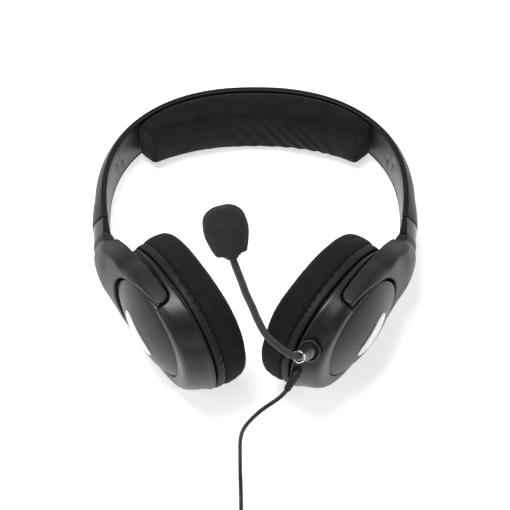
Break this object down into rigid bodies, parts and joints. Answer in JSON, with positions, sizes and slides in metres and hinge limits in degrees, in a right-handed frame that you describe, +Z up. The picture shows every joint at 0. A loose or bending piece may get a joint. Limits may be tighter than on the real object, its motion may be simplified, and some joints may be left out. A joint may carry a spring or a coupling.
{
  "type": "gaming headset",
  "caption": "Over-ear gaming headset lying on its back, with height sliders, tilting cups, a plug-in boom microphone and an audio cable with in-line control.",
  "frame": {"origin": "middle of the footprint of the headset, cable left out, on the surface that it lies on", "axes": "+Z up from the surface, +Y from the ear cups towards the top of the headband, +X towards the cup with the microphone"},
  "size_m": [0.1872, 0.3465, 0.1665],
  "materials": {
    "shell": "fine grain, satin",
    "inner_plastic": "fine grain, matt",
    "yoke": "fine grain, satin",
    "gloss": "polished black",
    "cap": "smooth satin",
    "badge": "plain light inlay",
    "cushion": "short velour",
    "pad": "soft woven cover with gathers",
    "skirt": "smooth synthetic skirt",
    "cloth": "thin knit",
    "foam": "open cell foam",
    "steel": "spring steel",
    "screw": "zinc black",
    "ferrule": "polished ferrule",
    "contact": "plated contact",
    "boom": "ribbed rubber sleeve",
    "cable": "matt cable jacket",
    "board": "circuit board",
    "magnet": "plated magnet",
    "cone": "thin film",
    "driver": "moulded frame"
  },
  "bodies": {
    "headband": {"headband_outer_shell": "shell", "headband_inner_cover": "inner_plastic", "headband_pad": "pad", "headband_spring": "steel", "headband_screws": "screw", "crossover_wire": "cable", "band_collar_left": "gloss", "band_collar_right": "gloss"},
    "arm_left": {"slider_left": "steel", "yoke_left": "yoke", "yoke_cover_left": "inner_plastic", "yoke_screws_left": "screw", "pivot_pins_left": "steel"},
    "arm_right": {"slider_right": "steel", "yoke_right": "yoke", "yoke_cover_right": "inner_plastic", "yoke_screws_right": "screw", "pivot_pins_right": "steel"},
    "cup_left": {"cup_shell_left": "shell", "cup_cap_left": "cap", "badge_left": "badge", "baffle_left": "inner_plastic", "baffle_screws_left": "screw", "driver_frame_left": "driver", "driver_magnet_left": "magnet", "driver_cone_left": "cone", "ear_pad_ring_left": "skirt", "ear_cushion_left": "cushion", "speaker_cloth_left": "cloth"},
    "cup_right": {"cup_shell_right": "shell", "cup_cap_right": "cap", "badge_right": "badge", "baffle_right": "inner_plastic", "baffle_screws_right": "screw", "driver_frame_right": "driver", "driver_magnet_right": "magnet", "driver_cone_right": "cone", "ear_pad_ring_right": "skirt", "ear_cushion_right": "cushion", "speaker_cloth_right": "cloth", "mic_socket": "inner_plastic", "cable_strain_relief": "cable", "cable_run": "cable", "cable_coil": "cable", "cable_tie": "cable", "remote_body": "inner_plastic", "remote_cover": "inner_plastic", "remote_board": "board", "cable_lead": "cable", "audio_plug": "contact"},
    "mic_plug": {"mic_plug_pin": "contact"},
    "mic_arm": {"mic_ferrule": "ferrule", "mic_boom_lower": "boom"},
    "mic_head": {"mic_boom_upper": "boom", "mic_head_collar": "inner_plastic", "mic_capsule": "inner_plastic", "mic_windscreen": "foam"},
    "volume_wheel": {"volume_wheel": "inner_plastic"},
    "mute_switch": {"mute_switch": "inner_plastic"}
  },
  "joints": [
    {"name": "slider_left_extend", "type": "slide", "parent": "headband", "child": "arm_left", "axis": [0.0436, -0.9833, 0.1769], "range_m": [0, 0.03]},
    {"name": "slider_right_extend", "type": "slide", "parent": "headband", "child": "arm_right", "axis": [-0.0436, -0.9833, 0.1769], "range_m": [0, 0.03]},
    {"name": "cup_left_tilt", "type": "hinge", "parent": "arm_left", "child": "cup_left", "pos_m": [-0.0525, -0.06043, 0.0433], "axis": [0, 0.1771, 0.9842], "range_deg": [-8, 4]},
    {"name": "cup_right_tilt", "type": "hinge", "parent": "arm_right", "child": "cup_right", "pos_m": [0.0525, -0.06043, 0.0433], "axis": [0, -0.1771, -0.9842], "range_deg": [-12, 0]},
    {"name": "mic_unplug", "type": "slide", "parent": "cup_right", "child": "mic_plug", "axis": [-0.3349, -0.4554, 0.8249], "range_m": [0, 0.012]},
    {"name": "mic_swivel", "type": "hinge", "parent": "mic_plug", "child": "mic_arm", "pos_m": [0.02986, -0.08157, 0.07199], "axis": [-0.3349, -0.4554, 0.8249], "range_deg": [-20, 35]},
    {"name": "boom_bend", "type": "hinge", "parent": "mic_arm", "child": "mic_head", "pos_m": [0.001, -0.07952, 0.11786], "axis": [1, 0, 0], "range_deg": [-25, 25]},
    {"name": "volume_wheel_turn", "type": "hinge", "parent": "cup_right", "child": "volume_wheel", "pos_m": [-0.0048, -0.174, 0.006], "axis": [0, 0, 1], "range_deg": [-140, 140]},
    {"name": "mute_switch_slide", "type": "slide", "parent": "cup_right", "child": "mute_switch", "axis": [0, -1, 0], "range_m": [0, 0.0034]}
  ]
}
